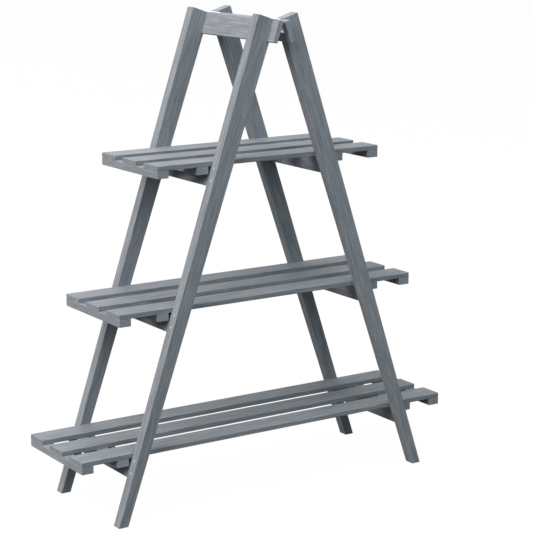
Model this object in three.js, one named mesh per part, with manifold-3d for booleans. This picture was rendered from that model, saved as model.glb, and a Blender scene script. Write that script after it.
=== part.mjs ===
// Folding plant ladder stand: two tapered ladders hinged together at the top and three slatted
// shelves that lie loose on the ladders' rails and keep them spread.
// Millimetres, +Z up, +X to the right along the shelves, front at -Y.
// The origin is on the floor, under the middle of the stand.

import * as THREE from "three";
import { mergeVertices } from "three/addons/utils/BufferGeometryUtils.js";
import Module from "manifold-3d";

const wasm = await Module();
wasm.setup();

// ---------------------------------------------------------------- driving dimensions

// Ladders
const leanDeg = 18.4; // each ladder's lean from the vertical
const legLength = 1182.2; // along the outer edge
const legTopWidth = 46.5;
const legFootWidth = 22.5;
const legThickness = 25;
const ladderWidth = 305; // over both legs, front to back

// Crossbars at the top, let into the legs' inner edges
const crossbarThickness = 12;
const crossbarHeight = 50;
const crossbarOverhang = 24; // past each leg
const crossbarDrop = 1.2; // below the legs' tops
const crossbarNotch = 7; // depth of the notch at the legs' tops

// Rails that carry the shelves
const railThickness = 15;
const railHeight = 45;
const railInset = 2; // from the legs' outer edge
const tenonLength = 18;
const tenonThickness = 9;
const tenonShoulder = 5; // above and below the tenon
const tenonInset = 3; // from the rail's outer face

// Shelves
const lowerShelfTop = 160;
const shelfRise = 320; // from one shelf's top to the next
const lowerShelfLength = 1000;
const shelfShortening = 200; // each shelf is this much shorter than the one below
const slatWidth = 60;
const slatThickness = 11;
const slatGap = 36.5;
const battenWidth = 29;
const battenThickness = 17;
const lockClearance = 3.5; // between a lock batten's foot and the rail that it stops

// Butt hinges
const hingeLength = 70;
const hingeEndDistance = 16; // from the crossbar's end
const knuckleCount = 5;
const leafThickness = 1.2;
const leafHeight = 30; // below the knuckles' centre
const knuckleRadius = 3;
const pinRadius = 1.4;
const pinHeadRadius = 2.1;
const pinHeadThickness = 0.8;
const leafScrewSpacing = 50;
const leafScrewDrop = 17; // below the knuckles' centre

// Screws
const railScrewSpacing = 28.5;
const railScrewRise = 4.3; // the pair's centre, above the rail's
const railScrewLength = 21;
const railScrewHeadRadius = 3.1;
const railScrewShankRadius = 1.6;
const leafScrewLength = 9;
const leafScrewHeadRadius = 2.5;
const leafScrewShankRadius = 1.3;
const countersinkDepth = 1.8;
const headLand = 0.4; // the straight rim of a screw's head
const screwTipLength = 2;
const screwFacets = 12;
const knuckleFacets = 20;

// Edges
const edgeChamfer = 0.6; // long edges of every board
const endChamfer = 0.4; // end edges of every board

// Clearances
const jointGap = 0.2; // between two glued or screwed pieces of wood
const seatGap = 0.3; // between a shelf and the rail that it lies on
const screwGap = 0.15; // around a screw, and under its head
const leafGap = 0.1; // between a hinge leaf and its crossbar
const knuckleGap = 0.4; // between neighbouring knuckles, and beside them
const foldGap = 0.8; // between the two leaves when the stand is folded
const pinGap = 0.1; // around the hinge pin
const legGap = 1; // between a shelf and the legs beside it

// ---------------------------------------------------------------- derived dimensions

const lean = THREE.MathUtils.degToRad(leanDeg);
const cosLean = Math.cos(lean);
const sinLean = Math.sin(lean);

// In a ladder's own frame, x points from its outer edge to the other ladder, z runs up the legs
// and the hinge pin is the origin.
const crossbarInnerX = -(foldGap / 2 + leafThickness + leafGap);
const crossbarOuterX = crossbarInnerX - crossbarThickness;
const crossbarTopZ = -(knuckleRadius + leafGap + jointGap);
const crossbarBottomZ = crossbarTopZ - crossbarHeight;
const legOuterX = crossbarOuterX - jointGap + crossbarNotch - legTopWidth;
const legTopZ = crossbarTopZ + crossbarDrop;
const legBottomZ = legTopZ - legLength;
const pinHeight = legOuterX * sinLean - legBottomZ * cosLean;

const crossbarLength = ladderWidth + 2 * crossbarOverhang;
const insideWidth = ladderWidth - 2 * legThickness;
const legCentreY = (ladderWidth - legThickness) / 2;
const railOuterX = legOuterX + railInset;
const railInnerX = railOuterX + railThickness;
const tenonOuterX = railOuterX + tenonInset;
const tenonInnerX = tenonOuterX + tenonThickness;

const shelfDepth = insideWidth - 2 * legGap;
const slatPitch = slatWidth + slatGap;
const shelfLevels = ["lower", "middle", "upper"].map((name, index) => ({
  name,
  top: lowerShelfTop + index * shelfRise,
  length: lowerShelfLength - index * shelfShortening,
}));
for (const level of shelfLevels) {
  level.slatBottom = level.top - slatThickness;
  level.railTop = level.slatBottom - seatGap;
}

const hingeCentreY = crossbarLength / 2 - hingeEndDistance - hingeLength / 2;
const knucklePitch = (hingeLength + knuckleGap) / knuckleCount;

// ---------------------------------------------------------------- materials

function finish(color, roughness, metalness) {
  return new THREE.MeshStandardMaterial({ color, roughness, metalness });
}

const stainedPine = finish(0x7f868c, 0.72, 0);
const zincSteel = finish(0xc4c7ca, 0.35, 0.9);
const yellowZinc = finish(0xc9b98e, 0.4, 0.85);

// ---------------------------------------------------------------- solids

// A closed geometry as a solid that can be joined and cut.
function solidOf(geometry) {
  const bare = geometry.clone();
  bare.deleteAttribute("normal");
  bare.deleteAttribute("uv");
  const merged = mergeVertices(bare, 1e-4);
  return new wasm.Manifold(
    new wasm.Mesh({
      numProp: 3,
      vertProperties: merged.attributes.position.array,
      triVerts: new Uint32Array(merged.index.array),
    }),
  );
}

function geometryOf(solid) {
  const mesh = solid.getMesh();
  const geometry = new THREE.BufferGeometry();
  geometry.setAttribute("position", new THREE.BufferAttribute(mesh.vertProperties, 3));
  geometry.setIndex(new THREE.BufferAttribute(mesh.triVerts, 1));
  geometry.computeVertexNormals();
  return geometry;
}

// A box between two corners.
function box(x0, x1, y0, y1, z0, z1) {
  const geometry = new THREE.BoxGeometry(x1 - x0, y1 - y0, z1 - z0);
  return geometry.translate((x0 + x1) / 2, (y0 + y1) / 2, (z0 + z1) / 2);
}

// A closed outline of [x, z] corners, counter-clockwise, with each corner cut off.
function chamferedOutline(corners, cut) {
  const points = [];
  corners.forEach(([x, z], index) => {
    const here = new THREE.Vector2(x, z);
    for (const step of [corners.length - 1, 1]) {
      const next = new THREE.Vector2(...corners[(index + step) % corners.length]);
      points.push(here.clone().add(next.sub(here).setLength(cut)));
    }
  });
  return new THREE.Shape(points);
}

// A board whose outline lies in the XZ plane and whose length runs along Y, with eased edges.
function board(corners, length) {
  const geometry = new THREE.ExtrudeGeometry(chamferedOutline(corners, edgeChamfer), {
    depth: length - 2 * endChamfer,
    bevelEnabled: true,
    bevelThickness: endChamfer,
    bevelSize: endChamfer,
    bevelOffset: -endChamfer,
    bevelSegments: 1,
  });
  geometry.translate(0, 0, endChamfer - length / 2);
  return geometry.rotateX(Math.PI / 2);
}

function rectangle(x0, x1, z0, z1) {
  return [
    [x0, z0],
    [x1, z0],
    [x1, z1],
    [x0, z1],
  ];
}

// A countersunk screw along +X whose head is flush with x = 0, grown all round by a margin.
function screwBody(length, headRadius, shankRadius, margin) {
  const profile = [
    [0, -margin],
    [headRadius + margin, -margin],
    [headRadius + margin, headLand],
    [shankRadius + margin, countersinkDepth + margin],
    [shankRadius + margin, length - screwTipLength],
    [0, length + margin],
  ];
  const points = profile.map(([radius, depth]) => new THREE.Vector2(radius, -depth));
  return new THREE.LatheGeometry(points.reverse(), screwFacets).rotateZ(Math.PI / 2);
}

function addMesh(group, name, geometry, material) {
  const mesh = new THREE.Mesh(geometry, material);
  mesh.name = name;
  group.add(mesh);
  return mesh;
}

// ---------------------------------------------------------------- ladder pieces

// Height, in the ladder's frame, of the top of a rail whose eased outer corner carries a shelf.
function railTopZ(level) {
  const contactX = railOuterX + edgeChamfer;
  return (level.railTop - pinHeight + contactX * sinLean) / cosLean;
}

// The two screws that pin a rail's tenon, as heights in the ladder's frame.
function railScrewHeights(level) {
  const centre = railTopZ(level) - railHeight / 2 + railScrewRise;
  return { upper: centre + railScrewSpacing / 2, lower: centre - railScrewSpacing / 2 };
}

// The side view of a leg: tapered, square at the top and cut level with the floor at the foot.
function legOutline() {
  const footSlant = Math.tan(lean);
  const taper = (legTopWidth - legFootWidth) / legLength;
  const footX = legOuterX + legFootWidth / (1 - taper * footSlant);
  return [
    [legOuterX, legBottomZ],
    [footX, legBottomZ + (footX - legOuterX) * footSlant],
    [legOuterX + legTopWidth, legTopZ],
    [legOuterX, legTopZ],
  ];
}

function legSolid(side) {
  let leg = solidOf(board(legOutline(), legThickness).translate(0, side * legCentreY, 0));
  const notch = box(
    crossbarOuterX - jointGap,
    0,
    -ladderWidth,
    ladderWidth,
    crossbarBottomZ - jointGap,
    legTopZ + jointGap,
  );
  leg = leg.subtract(solidOf(notch));
  const mortiseBottomY = insideWidth / 2 + tenonLength;
  for (const level of shelfLevels) {
    const top = railTopZ(level);
    const mortise = box(
      tenonOuterX - jointGap,
      tenonInnerX + jointGap,
      Math.min(0, side * mortiseBottomY),
      Math.max(0, side * mortiseBottomY),
      top - railHeight + tenonShoulder - jointGap,
      top - tenonShoulder + jointGap,
    );
    leg = leg.subtract(solidOf(mortise));
    for (const height of Object.values(railScrewHeights(level))) {
      leg = leg.subtract(solidOf(railScrewHole(side, height)));
    }
  }
  return leg;
}

function railScrewHole(side, height) {
  const hole = screwBody(railScrewLength, railScrewHeadRadius, railScrewShankRadius, screwGap);
  return hole.translate(legOuterX, side * legCentreY, height);
}

function railSolid(level) {
  const top = railTopZ(level);
  const outline = rectangle(railOuterX, railInnerX, top - railHeight, top);
  const shoulder = insideWidth / 2 - jointGap;
  let rail = solidOf(board(outline, 2 * shoulder));
  const tenonEnd = insideWidth / 2 + tenonLength - jointGap;
  const tenons = box(
    tenonOuterX,
    tenonInnerX,
    -tenonEnd,
    tenonEnd,
    top - railHeight + tenonShoulder,
    top - tenonShoulder,
  );
  rail = rail.add(solidOf(tenons));
  for (const side of [-1, 1]) {
    for (const height of Object.values(railScrewHeights(level))) {
      rail = rail.subtract(solidOf(railScrewHole(side, height)));
    }
  }
  return rail;
}

function leafScrewPlaces(hingeY) {
  return { a: hingeY - leafScrewSpacing / 2, b: hingeY + leafScrewSpacing / 2 };
}

// A leaf screw, or its hole, points outwards from the leaf's inner face.
function leafScrew(y, margin) {
  const screw = screwBody(leafScrewLength, leafScrewHeadRadius, leafScrewShankRadius, margin);
  return screw.rotateZ(Math.PI).translate(-foldGap / 2, y, -leafScrewDrop);
}

function crossbarSolid() {
  const outline = rectangle(crossbarOuterX, crossbarInnerX, crossbarBottomZ, crossbarTopZ);
  let crossbar = solidOf(board(outline, crossbarLength));
  for (const hingeSide of [-1, 1]) {
    for (const y of Object.values(leafScrewPlaces(hingeSide * hingeCentreY))) {
      crossbar = crossbar.subtract(solidOf(leafScrew(y, screwGap)));
    }
  }
  return crossbar;
}

// ---------------------------------------------------------------- hinge pieces

// A tube around the hinge pin's axis, along Y.
function knuckleTube(y0, y1, bore) {
  const profile = [
    [bore, y0],
    [knuckleRadius, y0],
    [knuckleRadius, y1],
    [bore, y1],
    [bore, y0],
  ];
  const points = profile.map(([radius, y]) => new THREE.Vector2(radius, y));
  return new THREE.LatheGeometry(points, knuckleFacets);
}

// One leaf with its knuckles, in the frame of the ladder that carries it. The knuckles alternate:
// the left ladder's leaf has the first, the last and every second one between them.
function leafSolid(hingeY, isLeft) {
  const start = hingeY - hingeLength / 2;
  const end = hingeY + hingeLength / 2;
  const leafOuterX = crossbarInnerX + leafGap;
  const leafInnerX = leafOuterX + leafThickness;
  const bore = pinRadius + pinGap;
  const rootTop = -(knuckleRadius + bore) / 2;
  const plateTop = -(knuckleRadius + knuckleGap);
  let leaf = solidOf(box(leafOuterX, leafInnerX, start, end, -leafHeight, plateTop));
  for (let index = isLeft ? 0 : 1; index < knuckleCount; index += 2) {
    const y0 = start + index * knucklePitch;
    const y1 = y0 + knucklePitch - knuckleGap;
    const root = box(leafOuterX, leafInnerX, y0, y1, plateTop - leafThickness, rootTop);
    leaf = leaf.add(solidOf(knuckleTube(y0, y1, bore)));
    leaf = leaf.add(solidOf(root));
  }
  for (const y of Object.values(leafScrewPlaces(hingeY))) {
    leaf = leaf.subtract(solidOf(leafScrew(y, screwGap)));
  }
  return leaf;
}

// A pin with a flat head outside each end knuckle. A lathed shape already turns about Y.
function pinGeometry(hingeY) {
  const headStart = hingeLength / 2 + pinGap;
  const end = headStart + pinHeadThickness;
  const profile = [
    [0, -end],
    [pinHeadRadius, -end],
    [pinHeadRadius, -headStart],
    [pinRadius, -headStart],
    [pinRadius, headStart],
    [pinHeadRadius, headStart],
    [pinHeadRadius, end],
    [0, end],
  ];
  const points = profile.map(([radius, y]) => new THREE.Vector2(radius, y));
  return new THREE.LatheGeometry(points, knuckleFacets).translate(0, hingeY, 0);
}

// ---------------------------------------------------------------- assemblies

// A ladder in its own frame. The right ladder is the left one turned half round about Z, so its
// front and rear change places.
function makeLadder(name) {
  const isLeft = name === "left";
  const ladder = new THREE.Group();
  const sides = isLeft ? { front: -1, rear: 1 } : { front: 1, rear: -1 };

  for (const [end, side] of Object.entries(sides)) {
    addMesh(ladder, `${name}_${end}_leg`, geometryOf(legSolid(side)), stainedPine);

    const hingeY = side * hingeCentreY;
    const leaf = geometryOf(leafSolid(hingeY, isLeft));
    addMesh(ladder, `${end}_hinge_${name}_leaf`, leaf, zincSteel);
    for (const [mark, y] of Object.entries(leafScrewPlaces(hingeY))) {
      addMesh(ladder, `${end}_hinge_${name}_screw_${mark}`, leafScrew(y, 0), zincSteel);
    }
    if (isLeft) addMesh(ladder, `${end}_hinge_pin`, pinGeometry(hingeY), zincSteel);
  }

  for (const level of shelfLevels) {
    addMesh(ladder, `${name}_${level.name}_rail`, geometryOf(railSolid(level)), stainedPine);
    for (const [mark, height] of Object.entries(railScrewHeights(level))) {
      const screw = screwBody(railScrewLength, railScrewHeadRadius, railScrewShankRadius, 0);
      screw.translate(legOuterX, sides.front * legCentreY, height);
      addMesh(ladder, `${name}_${level.name}_rail_${mark}_screw`, screw, yellowZinc);
    }
  }

  addMesh(ladder, `${name}_top_crossbar`, geometryOf(crossbarSolid()), stainedPine);

  ladder.rotation.y = lean;
  const placed = new THREE.Group();
  placed.add(ladder);
  placed.position.z = pinHeight;
  placed.rotation.z = isLeft ? 0 : Math.PI;
  return placed;
}

// The outer face of a rail, as a distance from the middle of the stand, at a height.
function railOuterReach(height) {
  const alongLeg = (height - pinHeight + railOuterX * sinLean) / cosLean;
  return -(railOuterX * cosLean + alongLeg * sinLean);
}

function makeShelf(level) {
  const shelf = new THREE.Group();
  const slatOutline = rectangle(-slatWidth / 2, slatWidth / 2, level.slatBottom, level.top);
  for (const [place, y] of Object.entries({ front: -slatPitch, middle: 0, rear: slatPitch })) {
    const slat = board(slatOutline, level.length).rotateZ(Math.PI / 2);
    addMesh(shelf, `${level.name}_shelf_${place}_slat`, slat.translate(0, y, 0), stainedPine);
  }

  const battenTop = level.slatBottom - jointGap;
  const battenBottom = battenTop - battenThickness;
  const reaches = {
    end: level.length / 2 - battenWidth,
    lock: railOuterReach(battenBottom) + lockClearance,
  };
  for (const [kind, reach] of Object.entries(reaches)) {
    const outline = rectangle(reach, reach + battenWidth, battenBottom, battenTop);
    const length = Math.min(shelfDepth, 2 * slatPitch + slatWidth);
    const right = board(outline, length);
    const left = right.clone().rotateZ(Math.PI);
    addMesh(shelf, `${level.name}_shelf_left_${kind}_batten`, left, stainedPine);
    addMesh(shelf, `${level.name}_shelf_right_${kind}_batten`, right, stainedPine);
  }
  return shelf;
}

const stand = new THREE.Group();
stand.add(makeLadder("left"), makeLadder("right"), ...shelfLevels.map(makeShelf));

export default stand;
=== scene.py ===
"""A folding plant ladder stand in grey-stained pine: materials, small screws, light and camera."""

import math
import random
from collections import namedtuple

import bmesh
import bpy
from mathutils import Euler, Matrix, Vector


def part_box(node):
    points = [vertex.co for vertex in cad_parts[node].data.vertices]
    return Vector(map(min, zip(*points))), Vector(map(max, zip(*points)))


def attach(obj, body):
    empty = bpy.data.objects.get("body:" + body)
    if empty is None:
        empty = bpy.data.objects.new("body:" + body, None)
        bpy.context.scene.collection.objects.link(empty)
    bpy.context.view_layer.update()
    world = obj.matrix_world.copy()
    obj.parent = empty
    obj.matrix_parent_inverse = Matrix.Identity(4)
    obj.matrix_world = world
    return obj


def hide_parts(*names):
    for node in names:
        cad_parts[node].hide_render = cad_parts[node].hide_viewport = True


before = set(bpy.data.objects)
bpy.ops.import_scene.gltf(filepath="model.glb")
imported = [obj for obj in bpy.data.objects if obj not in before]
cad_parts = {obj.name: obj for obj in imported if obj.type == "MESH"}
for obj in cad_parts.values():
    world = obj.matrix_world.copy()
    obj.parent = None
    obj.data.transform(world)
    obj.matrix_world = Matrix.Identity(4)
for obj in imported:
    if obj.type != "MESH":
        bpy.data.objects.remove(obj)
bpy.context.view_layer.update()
scene = bpy.context.scene
scene.view_settings.view_transform = "Standard"

MM = 0.001  # one millimetre, in the scene's metres
LEAN = math.radians(18.4)
RIGHT_ANGLE = math.radians(90)

SIDES = {"left": 0.0, "right": math.pi}
LEVELS = ("upper", "middle", "lower")
SLATS = ("front", "middle", "rear")
BATTENS = ("end", "lock")

# ------------------------------------------------------------------ node helpers


# A noise: its cells to the metre along x, y and z, how many finer layers it has, and how strong
# they are.
Pattern = namedtuple("Pattern", "stretch detail roughness", defaults=(2, 0.5))


class Nodes:
    """Short ways to add and link shader nodes in one tree."""

    def __init__(self, tree):
        self.tree = tree
        tree.nodes.clear()

    def add(self, kind, **settings):
        node = self.tree.nodes.new(kind)
        for key, value in settings.items():
            setattr(node, key, value)
        return node

    def put(self, socket, value):
        if isinstance(value, bpy.types.NodeSocket):
            self.tree.links.new(value, socket)
        else:
            socket.default_value = value

    def math(self, operation, a, b=None, c=None):
        node = self.add("ShaderNodeMath", operation=operation)
        for socket, value in zip(node.inputs, (a, b, c)):
            if value is not None:
                self.put(socket, value)
        return node.outputs[0]

    def vector(self, operation, a, b=None):
        node = self.add("ShaderNodeVectorMath", operation=operation)
        self.put(node.inputs[0], a)
        if b is not None:
            self.put(node.inputs[1], b)
        return node.outputs["Vector"]

    def in_frame(self, vector, location, rotation):
        """A vector as seen from a frame at a location, turned by a rotation."""
        node = self.add("ShaderNodeMapping", vector_type="TEXTURE")
        self.put(node.inputs["Vector"], vector)
        self.put(node.inputs["Location"], location)
        self.put(node.inputs["Rotation"], rotation)
        return node.outputs[0]

    def noise(self, vector, pattern):
        node = self.add("ShaderNodeTexNoise", noise_dimensions="3D")
        self.put(node.inputs["Vector"], self.vector("MULTIPLY", vector, pattern.stretch))
        self.put(node.inputs["Scale"], 1.0)
        self.put(node.inputs["Detail"], pattern.detail)
        self.put(node.inputs["Roughness"], pattern.roughness)
        return node.outputs[0]

    def centred(self, value, contrast):
        """A value that runs from 0 to 1, scaled by a contrast and centred on 0."""
        return self.math("MULTIPLY_ADD", value, contrast, -contrast / 2)

    def ramp(self, factor, stops):
        node = self.add("ShaderNodeValToRGB")
        self.put(node.inputs[0], factor)
        elements = node.color_ramp.elements
        while len(elements) < len(stops):
            elements.new(0.5)
        for element, (position, colour) in zip(elements, stops):
            element.position = position
            if isinstance(colour, (int, float)):
                colour = (colour, colour, colour)
            element.color = (*colour, 1.0)
        return node.outputs[0]

    def mix(self, factor, a, b, blend="MIX"):
        node = self.add("ShaderNodeMix", data_type="RGBA", blend_type=blend)
        self.put(node.inputs[0], factor)
        self.put(node.inputs[6], a)
        self.put(node.inputs[7], b)
        return node.outputs[2]

    def steps(self, value, low, high):
        node = self.add("ShaderNodeMapRange", interpolation_type="SMOOTHSTEP")
        self.put(node.inputs[0], value)
        self.put(node.inputs[1], low)
        self.put(node.inputs[2], high)
        return node.outputs[0]

    def bump(self, height, strength, distance):
        node = self.add("ShaderNodeBump")
        self.put(node.inputs["Strength"], strength)
        self.put(node.inputs["Distance"], distance)
        self.put(node.inputs["Height"], height)
        return node.outputs[0]


def new_material(name):
    material = bpy.data.materials.new(name)
    material.use_nodes = True
    return material, Nodes(material.node_tree)


def finish_material(nodes, colour, roughness, normal, metallic=0.0, specular=0.5):
    shader = nodes.add("ShaderNodeBsdfPrincipled")
    nodes.put(shader.inputs["Base Color"], colour)
    nodes.put(shader.inputs["Roughness"], roughness)
    nodes.put(shader.inputs["Normal"], normal)
    shader.inputs["Metallic"].default_value = metallic
    shader.inputs["Specular IOR Level"].default_value = specular
    output = nodes.add("ShaderNodeOutputMaterial")
    nodes.tree.links.new(shader.outputs[0], output.inputs[0])


# ------------------------------------------------------------------ stained pine

STAIN_DARK = (0.165, 0.190, 0.216)
STAIN_LIGHT = (0.325, 0.352, 0.385)
# the lighter colour of eased edges: worn stain and a painted edge highlight
STAIN_WORN_AND_HIGHLIT = (0.44, 0.45, 0.47)

# In a board's own frame, x runs along the grain, y across it and z through the board.
FIBRES = Pattern((14, 1400, 1400), 3, 0.65)
STREAKS = Pattern((16, 420, 420), 3, 0.6)
BANDS = Pattern((2, 60, 60))
BLOTCHES = Pattern((9, 22, 22), 3)
PORES = Pattern((40, 1500, 1500), 2, 0.7)
# the patches along eased edges that are lightened: wear and a painted highlight
RUBBING_AND_HIGHLIGHT = Pattern((30, 140, 140), 3, 0.6)
OTHER_PLACE = (7.3, 1.7, 3.1)  # how far away a board's second set of patterns is taken from

# How strongly each pattern moves the stain between its dark and its light colour.
MIDDLE_SHADE = 0.55
FIBRE_CONTRAST = 1.6
STREAK_CONTRAST = 2.3
BAND_CONTRAST = 0.35
BLOTCH_CONTRAST = 0.45
LATE_WOOD_SHADE = -0.15
BOARD_SHADE_SPREAD = 0.06
WOOD_STOPS = [(0.0, STAIN_DARK), (1.0, STAIN_LIGHT)]
END_GRAIN_TINTS = [(0.3, (0.96, 0.97, 0.98)), (0.7, (1.18, 1.18, 1.18))]
# how far eased edges are lightened: partly wear, partly a painted highlight
EDGE_WEAR_AND_HIGHLIGHT = 0.6

# Where each effect starts and is complete. A flat face has 1 along one of the board's axes.
END_GRAIN = (0.75, 0.95)
EASED_EDGE = (0.97, 0.86)
RUBBED_AND_HIGHLIT = (0.38, 0.66)

# The surface's relief and shine.
FIBRE_RELIEF = 0.8
STREAK_RELIEF = 0.5
LATE_WOOD_RELIEF = 0.3
RELIEF_STRENGTH = 0.3
RELIEF_DEPTH = 0.3 * MM
WOOD_ROUGHNESS = 0.5
STREAK_ROUGHNESS = 0.2
END_GRAIN_ROUGHNESS = 0.12
WOOD_SHINE = 0.22

# The growth rings: slow sways of the pith, a small wobble of each ring, and one ring's shade.
SWAY_ACROSS = Pattern((1.6, 6, 6))
SWAY_THROUGH = Pattern((1.9, 6, 6))
RING_WOBBLE = Pattern((4, 120, 120))
SWAY_ACROSS_REACH = 8 * MM
SWAY_THROUGH_REACH = 10 * MM
RING_WOBBLE_REACH = 0.8 * MM
RING_SHADES = [(0.0, 0.1), (0.45, 0.0), (0.82, 1.0), (0.9, 1.0), (1.0, 0.1)]

# What differs from board to board.
GRAIN_START = (0, 4)  # metres along the grain
PITH_ASIDE = (0.1, 0.9)  # shares of the board's width
PITH_DEPTH = (8 * MM, 40 * MM)  # below the board
RING_SPACING = (2.2 * MM, 3.4 * MM)


def growth_rings(n, place, shifted, pith, spacing):
    """Late wood, from 0 to 1: growth rings around a pith that runs beside the board."""
    from_pith = n.add("ShaderNodeSeparateXYZ")
    n.put(from_pith.inputs[0], n.vector("SUBTRACT", place, pith))
    sway_y = n.centred(n.noise(place, SWAY_ACROSS), SWAY_ACROSS_REACH)
    sway_z = n.centred(n.noise(shifted, SWAY_THROUGH), SWAY_THROUGH_REACH)
    y = n.math("ADD", from_pith.outputs[1], sway_y)
    z = n.math("ADD", from_pith.outputs[2], sway_z)
    radius = n.math("SQRT", n.math("ADD", n.math("MULTIPLY", y, y), n.math("MULTIPLY", z, z)))
    radius = n.math("MULTIPLY_ADD", n.noise(place, RING_WOBBLE), RING_WOBBLE_REACH, radius)
    phase = n.math("FRACT", n.math("DIVIDE", radius, spacing))
    return n.ramp(phase, RING_SHADES)


def board_material(name, centre, rotation, width, thickness, tone):
    """Pine stained grey, with its patterns in the board's own frame."""
    chance = random.Random(name)
    material, n = new_material("pine_" + name)
    coordinates = n.add("ShaderNodeTexCoord")
    place = n.in_frame(coordinates.outputs["Object"], centre, rotation)
    place = n.vector("ADD", place, (chance.uniform(*GRAIN_START), 0, 0))
    shifted = n.vector("ADD", place, OTHER_PLACE)
    normal = n.in_frame(coordinates.outputs["Normal"], (0, 0, 0), rotation)

    side = chance.choice((-1, 1))
    aside = side * chance.uniform(*PITH_ASIDE) * width
    pith = (0, aside, -thickness / 2 - chance.uniform(*PITH_DEPTH))
    late = growth_rings(n, place, shifted, pith, chance.uniform(*RING_SPACING))
    fibres = n.noise(place, FIBRES)
    streaks = n.noise(place, STREAKS)

    shade = n.math("MULTIPLY", late, LATE_WOOD_SHADE)
    for pattern, contrast in (
        (fibres, FIBRE_CONTRAST),
        (streaks, STREAK_CONTRAST),
        (n.noise(shifted, BANDS), BAND_CONTRAST),
        (n.noise(shifted, BLOTCHES), BLOTCH_CONTRAST),
    ):
        shade = n.math("ADD", shade, n.centred(pattern, contrast))
    own_shade = chance.uniform(-BOARD_SHADE_SPREAD, BOARD_SHADE_SPREAD)
    shade = n.math("ADD", shade, MIDDLE_SHADE + tone + own_shade)
    colour = n.ramp(shade, WOOD_STOPS)

    # End grain shows its pores and rings; eased edges are lighter in patches, partly stain worn off and
    # partly a painted highlight.
    facing = n.add("ShaderNodeSeparateXYZ")
    n.put(facing.inputs[0], n.vector("ABSOLUTE", normal))
    along, across, through = facing.outputs
    end = n.steps(along, *END_GRAIN)
    end_tint = n.ramp(n.noise(place, PORES), END_GRAIN_TINTS)
    colour = n.mix(end, colour, n.mix(1.0, colour, end_tint, "MULTIPLY"))
    largest = n.math("MAXIMUM", along, n.math("MAXIMUM", across, through))
    eased = n.steps(largest, *EASED_EDGE)
    rubbed_and_highlit = n.steps(n.noise(place, RUBBING_AND_HIGHLIGHT), *RUBBED_AND_HIGHLIT)
    wear_and_highlight = n.math("MULTIPLY", eased, n.math("MULTIPLY", rubbed_and_highlit, EDGE_WEAR_AND_HIGHLIGHT))
    colour = n.mix(wear_and_highlight, colour, (*STAIN_WORN_AND_HIGHLIT, 1))

    height = n.math("MULTIPLY", fibres, FIBRE_RELIEF)
    height = n.math("ADD", height, n.math("MULTIPLY", late, LATE_WOOD_RELIEF))
    height = n.math("ADD", height, n.math("MULTIPLY", streaks, STREAK_RELIEF))
    relief = n.bump(height, RELIEF_STRENGTH, RELIEF_DEPTH)
    roughness = n.math("MULTIPLY_ADD", streaks, STREAK_ROUGHNESS, WOOD_ROUGHNESS)
    roughness = n.math("ADD", roughness, n.math("MULTIPLY", end, END_GRAIN_ROUGHNESS))
    finish_material(n, colour, roughness, relief, specular=WOOD_SHINE)
    return material


# Each kind of board: its width across the grain, its thickness and how far its stain is from
# the middle shade.
Board = namedtuple("Board", "width thickness tone")
LEG = Board(40 * MM, 25 * MM, 0.0)
CROSSBAR = Board(12 * MM, 50 * MM, 0.0)
RAIL = Board(15 * MM, 45 * MM, 0.0)
SLAT = Board(60 * MM, 11 * MM, -0.12)
BATTEN = Board(29 * MM, 17 * MM, 0.0)


def dress_board(node, rotation, board):
    low, high = map(Vector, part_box(node))
    material = board_material(node, tuple((low + high) / 2), rotation, *board)
    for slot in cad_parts[node].material_slots:
        slot.material = material


for side, turn in SIDES.items():
    for end in ("front", "rear"):
        dress_board(f"{side}_{end}_leg", (0, LEAN - RIGHT_ANGLE, turn), LEG)
    dress_board(f"{side}_top_crossbar", (LEAN, 0, turn + RIGHT_ANGLE), CROSSBAR)
    for level in LEVELS:
        dress_board(f"{side}_{level}_rail", (LEAN, 0, turn + RIGHT_ANGLE), RAIL)
for level in LEVELS:
    for place in SLATS:
        dress_board(f"{level}_shelf_{place}_slat", (0, 0, 0), SLAT)
    for side in SIDES:
        for kind in BATTENS:
            dress_board(f"{level}_shelf_{side}_{kind}_batten", (0, 0, RIGHT_ANGLE), BATTEN)

# ------------------------------------------------------------------ metal

Metal = namedtuple("Metal", "light dark roughness metallic")
BRIGHT_ZINC = Metal((0.90, 0.90, 0.91), (0.76, 0.77, 0.79), 0.20, 1.0)
YELLOW_ZINC = Metal((0.92, 0.84, 0.66), (0.70, 0.61, 0.43), 0.42, 0.55)

SCUFFS = Pattern((420, 90, 420), 3, 0.65)
SPOTS = Pattern((160, 160, 160), 4, 0.6)
SCUFF_TONE = 0.6
SPOT_TONE = 0.5
DARKEST_TONE = 0.3
LIGHTEST_TONE = 0.75
SCUFF_ROUGHNESS = 0.25
SMOOTHEST_SCUFF = -0.12  # the least scuffed metal, from the metal's own roughness
SPOT_RELIEF_STRENGTH = 0.15
SPOT_RELIEF_DEPTH = 0.1 * MM


def metal_material(name, metal):
    material, n = new_material(name)
    place = n.add("ShaderNodeTexCoord").outputs["Object"]
    scuffs = n.noise(place, SCUFFS)
    spots = n.noise(place, SPOTS)
    tone = n.math("ADD", n.math("MULTIPLY", scuffs, SCUFF_TONE), n.math("MULTIPLY", spots, SPOT_TONE))
    colour = n.ramp(tone, [(DARKEST_TONE, metal.dark), (LIGHTEST_TONE, metal.light)])
    rough = n.math("MULTIPLY_ADD", scuffs, SCUFF_ROUGHNESS, metal.roughness + SMOOTHEST_SCUFF)
    relief = n.bump(spots, SPOT_RELIEF_STRENGTH, SPOT_RELIEF_DEPTH)
    finish_material(n, colour, rough, relief, metallic=metal.metallic)
    return material


zinc = metal_material("bright_zinc", BRIGHT_ZINC)
yellow = metal_material("yellow_zinc", YELLOW_ZINC)

for end in ("front", "rear"):
    for piece in ("left_leaf", "right_leaf", "pin"):
        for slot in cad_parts[f"{end}_hinge_{piece}"].material_slots:
            slot.material = zinc

# ------------------------------------------------------------------ screws

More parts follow.
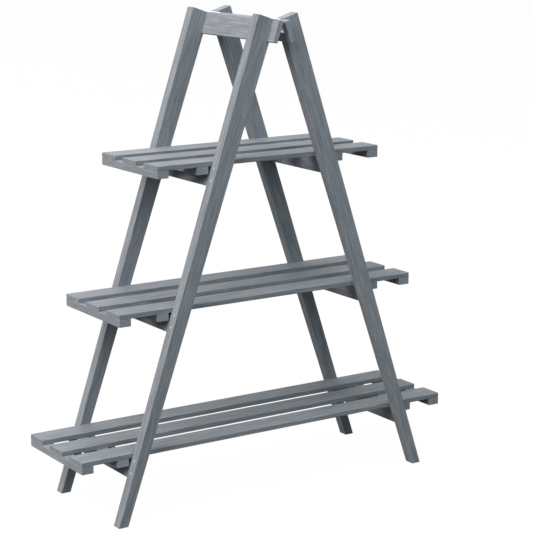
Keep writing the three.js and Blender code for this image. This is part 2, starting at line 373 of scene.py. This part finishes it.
Screw = namedtuple("Screw", "head shank length")  # the head's and the shank's radius
RAIL_SCREW = Screw(3.1 * MM, 1.6 * MM, 21 * MM)
LEAF_SCREW = Screw(2.5 * MM, 1.3 * MM, 9 * MM)
BATTEN_SCREW = Screw(3.1 * MM, 1.6 * MM, 24 * MM)

ROUND_HEAD = 5  # quads along each side of the grid that becomes a screw's head
CROSS_SPAN = 1.1  # in quads: takes in the grid's middle quad and its four neighbours
HEAD_RIM = 0.35 * MM  # the straight rim above the countersunk cone
RECESS_REACH = 0.46  # length of the cross's arms, as a share of the head's radius
RECESS_HALF_WIDTH = 0.12  # a share of the head's radius, too
RECESS_DEPTH = 0.45
RECESS_TAPER = 0.6
POINT_LENGTH = 2 * MM
POINT_TAPER = 0.1

LARGEST_SPIN = 1.5  # how far a screw's cross can be turned, in radians
DRIFT_ACROSS = 2 * MM  # how far a screw can stand from the middle of its batten
DRIFT_ALONG = 3 * MM  # and from the middle of its slat


def extrude_down(bm, edges, depth, scale):
    """Carries an open rim down to a depth and scales it, and gives back the new rim's edges."""
    new = bmesh.ops.extrude_edge_only(bm, edges=edges)["geom"]
    verts = [item for item in new if isinstance(item, bmesh.types.BMVert)]
    bmesh.ops.translate(bm, verts=verts, vec=(0, 0, -depth - verts[0].co.z))
    bmesh.ops.scale(bm, verts=verts, vec=(scale, scale, 1))
    return [e for e in new if isinstance(e, bmesh.types.BMEdge) and all(v in verts for v in e.verts)]


def screw_shape(screw):
    """A countersunk cross-head screw whose head is flush with z = 0 and which points down."""
    bm = bmesh.new()
    bmesh.ops.create_grid(bm, x_segments=ROUND_HEAD, y_segments=ROUND_HEAD, size=screw.head)
    pitch = 2 * screw.head / ROUND_HEAD
    middles = {face: face.calc_center_median() for face in bm.faces}
    cross = [f for f, middle in middles.items() if abs(middle.x) + abs(middle.y) < CROSS_SPAN * pitch]
    rim = [edge for edge in bm.edges if edge.is_boundary]
    for vert in bm.verts:
        if vert.is_boundary:
            vert.co = vert.co.normalized() * screw.head
            continue
        for axis in (0, 1):
            share = RECESS_REACH if abs(vert.co[axis]) > pitch else RECESS_HALF_WIDTH
            vert.co[axis] = math.copysign(share * screw.head, vert.co[axis])
    new = bmesh.ops.extrude_face_region(bm, geom=cross)["geom"]
    bmesh.ops.delete(bm, geom=cross, context="FACES")
    sunk = [item for item in new if isinstance(item, bmesh.types.BMVert)]
    bmesh.ops.translate(bm, verts=sunk, vec=(0, 0, -RECESS_DEPTH * screw.head))
    bmesh.ops.scale(bm, verts=sunk, vec=(RECESS_TAPER, RECESS_TAPER, 1))
    rim = extrude_down(bm, rim, HEAD_RIM, 1)
    rim = extrude_down(bm, rim, HEAD_RIM + screw.head - screw.shank, screw.shank / screw.head)
    rim = extrude_down(bm, rim, screw.length - POINT_LENGTH, 1)
    rim = extrude_down(bm, rim, screw.length, POINT_TAPER)
    bmesh.ops.edgeloop_fill(bm, edges=rim)
    return bm


def screw_piece(name, body, material, places, screw, nodes=()):
    """One piece that holds the same screw at each of its places."""
    one = screw_shape(screw)
    mesh = bpy.data.meshes.new(name)
    one.to_mesh(mesh)
    one.free()
    bm = bmesh.new()
    for place in places:
        before = len(bm.verts)
        bm.from_mesh(mesh)
        bmesh.ops.transform(bm, matrix=place, verts=list(bm.verts)[before:])
    bmesh.ops.recalc_face_normals(bm, faces=bm.faces)
    bm.to_mesh(mesh)
    bm.free()
    piece = bpy.data.objects.new(name, mesh)
    scene.collection.objects.link(piece)
    mesh.materials.append(material)
    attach(piece, body)
    if nodes:
        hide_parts(*nodes)


def turned(location, direction, spin):
    """A screw's place: its head at a point, facing a direction, with its cross turned."""
    turn = Vector(direction).to_track_quat("Z", "Y").to_matrix().to_4x4()
    return Matrix.Translation(location) @ turn @ Matrix.Rotation(spin, 4, "Z")


def head_centre(node, facing, radius):
    """The centre of a head, whose tilted disc touches the node's box on the sides it faces."""
    low, high = map(Vector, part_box(node))
    x = high.x if facing.x > 0 else low.x
    z = high.z if facing.z > 0 else low.z
    x -= math.copysign(radius * facing.z, facing.x)
    z -= math.copysign(radius * facing.x, facing.z)
    return Vector((x, (low.y + high.y) / 2, z))


chance = random.Random(3)

for side in SIDES:
    sign = -1 if side == "left" else 1
    outwards = Vector((sign * math.cos(LEAN), 0, math.sin(LEAN)))
    body = f"{side}_ladder"

    nodes = [f"{side}_{level}_rail_{mark}_screw" for level in LEVELS for mark in ("upper", "lower")]
    places = []
    for node in nodes:
        head = head_centre(node, outwards, RAIL_SCREW.head)
        for y in (head.y, -head.y):
            spin = chance.uniform(0, LARGEST_SPIN)
            places.append(turned((head.x, y, head.z), outwards, spin))
    screw_piece(f"{side}_rail_screws", body, yellow, places, RAIL_SCREW, nodes)

    nodes = [f"{end}_hinge_{side}_screw_{mark}" for end in ("front", "rear") for mark in ("a", "b")]
    places = []
    for node in nodes:
        head = head_centre(node, -outwards, LEAF_SCREW.head)
        places.append(turned(head, -outwards, chance.uniform(0, LARGEST_SPIN)))
    screw_piece(f"{side}_hinge_screws", body, zinc, places, LEAF_SCREW, nodes)

for level in LEVELS:
    body = f"{level}_shelf"
    places = []
    for side in SIDES:
        for kind in BATTENS:
            low, high = map(Vector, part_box(f"{body}_{side}_{kind}_batten"))
            for place in SLATS:
                slat_low, slat_high = map(Vector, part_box(f"{body}_{place}_slat"))
                x = (low.x + high.x) / 2 + chance.uniform(-DRIFT_ACROSS, DRIFT_ACROSS)
                y = (slat_low.y + slat_high.y) / 2 + chance.uniform(-DRIFT_ALONG, DRIFT_ALONG)
                spin = chance.uniform(0, LARGEST_SPIN)
                places.append(turned((x, y, low.z), (0, 0, -1), spin))
    screw_piece(f"{level}_batten_screws", body, yellow, places, BATTEN_SCREW)

# ------------------------------------------------------------------ floor and studio

FLOOR_SIZE = 60.0
FLOOR_DROP = 0.5 * MM  # below the feet, so that nothing touches it
FLOOR_GLOW = 0.98  # what the camera sees of the floor in full shadow
FLOOR_SHADE = 0.025  # how strongly the floor shows light and shadow
FLOOR_WHITE = 0.9  # how bright the floor looks in a glossy surface
FLOOR_BOUNCE = 0.05  # share of the light that the floor sends back up
STUDIO_WHITE = 0.55  # how bright the studio's walls look in a glossy surface


def emission(n, strength):
    glow = n.add("ShaderNodeEmission")
    glow.inputs["Strength"].default_value = strength
    return glow.outputs[0]


def matt(n, shade):
    diffuse = n.add("ShaderNodeBsdfDiffuse")
    diffuse.inputs["Color"].default_value = (shade, shade, shade, 1)
    return diffuse.outputs[0]


def choose(n, factor, otherwise, chosen):
    both = n.add("ShaderNodeMixShader")
    for socket, value in zip(both.inputs, (factor, otherwise, chosen)):
        n.put(socket, value)
    return both.outputs[0]


def floor_material():
    """White to the eye with a faint shadow, and nearly black to the light that falls on it."""
    material, n = new_material("pale_floor")
    rays = n.add("ShaderNodeLightPath")
    seen = n.add("ShaderNodeAddShader")
    n.put(seen.inputs[0], emission(n, FLOOR_GLOW))
    n.put(seen.inputs[1], matt(n, FLOOR_SHADE))
    is_glossy = rays.outputs["Is Glossy Ray"]
    unseen = choose(n, is_glossy, matt(n, FLOOR_BOUNCE), emission(n, FLOOR_WHITE))
    surface = choose(n, rays.outputs["Is Camera Ray"], unseen, seen.outputs[0])
    n.put(n.add("ShaderNodeOutputMaterial").inputs[0], surface)
    material.cycles.emission_sampling = "NONE"
    return material


def lay_floor():
    bm = bmesh.new()
    bmesh.ops.create_grid(bm, x_segments=1, y_segments=1, size=FLOOR_SIZE / 2)
    mesh = bpy.data.meshes.new("floor")
    bm.to_mesh(mesh)
    bm.free()
    mesh.materials.append(floor_material())
    floor = bpy.data.objects.new("floor", mesh)
    scene.collection.objects.link(floor)
    floor.location.z = -FLOOR_DROP


def build_studio():
    """A world that is white to the eye and pale in reflections; lamps give all the other light."""
    world = bpy.data.worlds.new("studio")
    scene.world = world
    world.use_nodes = True
    n = Nodes(world.node_tree)
    rays = n.add("ShaderNodeLightPath")
    reflected = n.math("MULTIPLY", rays.outputs["Is Glossy Ray"], STUDIO_WHITE)
    strength = n.math("MAXIMUM", rays.outputs["Is Camera Ray"], reflected)
    background = n.add("ShaderNodeBackground")
    background.inputs["Color"].default_value = (1, 1, 1, 1)
    n.put(background.inputs["Strength"], strength)
    n.put(n.add("ShaderNodeOutputWorld").inputs[0], background.outputs[0])


lay_floor()
build_studio()

# ------------------------------------------------------------------ lamps

WARM_WHITE = (1.0, 0.94, 0.91)
WHITE = (1.0, 0.98, 0.95)
COOL_WHITE = (0.85, 0.98, 1.0)
STAND_MIDDLE = Vector((0, 0, 0.55))


def soft_lamp(name, compass, height, spread, distance, strength, colour):
    """A round lamp that lights the stand evenly; its spread is how wide the stand sees it.

    Compass 0 is in front of the stand, 90 to its right and 270 to its left.
    """
    light = bpy.data.lights.new(name, "AREA")
    light.shape = "DISK"
    half_spread = math.radians(spread / 2)
    light.size = 2 * distance * math.tan(half_spread)
    light.energy = strength * math.pi * (distance / math.cos(half_spread)) ** 2
    light.color = colour
    lamp = bpy.data.objects.new(name, light)
    scene.collection.objects.link(lamp)
    turn = math.radians(compass)
    rise = math.radians(height)
    source = Vector((math.sin(turn) * math.cos(rise), -math.cos(turn) * math.cos(rise), math.sin(rise)))
    lamp.location = STAND_MIDDLE + distance * source
    lamp.rotation_euler = source.to_track_quat("Z", "Y").to_euler()
    lamp.visible_camera = False
    return lamp


overhead = soft_lamp(
    "overhead", compass=0, height=89, spread=55, distance=6.0, strength=1.85, colour=WHITE
)
overhead.visible_glossy = False
soft_lamp("left_key", compass=285, height=42, spread=45, distance=12.0, strength=2.6, colour=WARM_WHITE)
soft_lamp("left_fill", compass=270, height=20, spread=30, distance=12.0, strength=0.85, colour=WHITE)
soft_lamp("front_fill", compass=0, height=30, spread=45, distance=5.0, strength=1.05, colour=COOL_WHITE)
soft_lamp("back_fill", compass=170, height=25, spread=40, distance=12.0, strength=0.55, colour=WHITE)

# ------------------------------------------------------------------ camera

CAMERA_PLACE = (-2.1882, -3.4143, 1.3946)
CAMERA_DOWN = math.radians(12.181)  # how far it looks down
CAMERA_TURN = math.radians(-33.469)  # how far it looks to the right of straight ahead
CAMERA_LENS = 118.67
SENSOR_WIDTH = 36.0

camera_data = bpy.data.cameras.new("camera")
camera_data.lens = CAMERA_LENS
camera_data.sensor_width = SENSOR_WIDTH
camera = bpy.data.objects.new("camera", camera_data)
scene.collection.objects.link(camera)
camera.location = CAMERA_PLACE
camera.rotation_euler = Euler((RIGHT_ANGLE - CAMERA_DOWN, 0, CAMERA_TURN), "XYZ")
scene.camera = camera
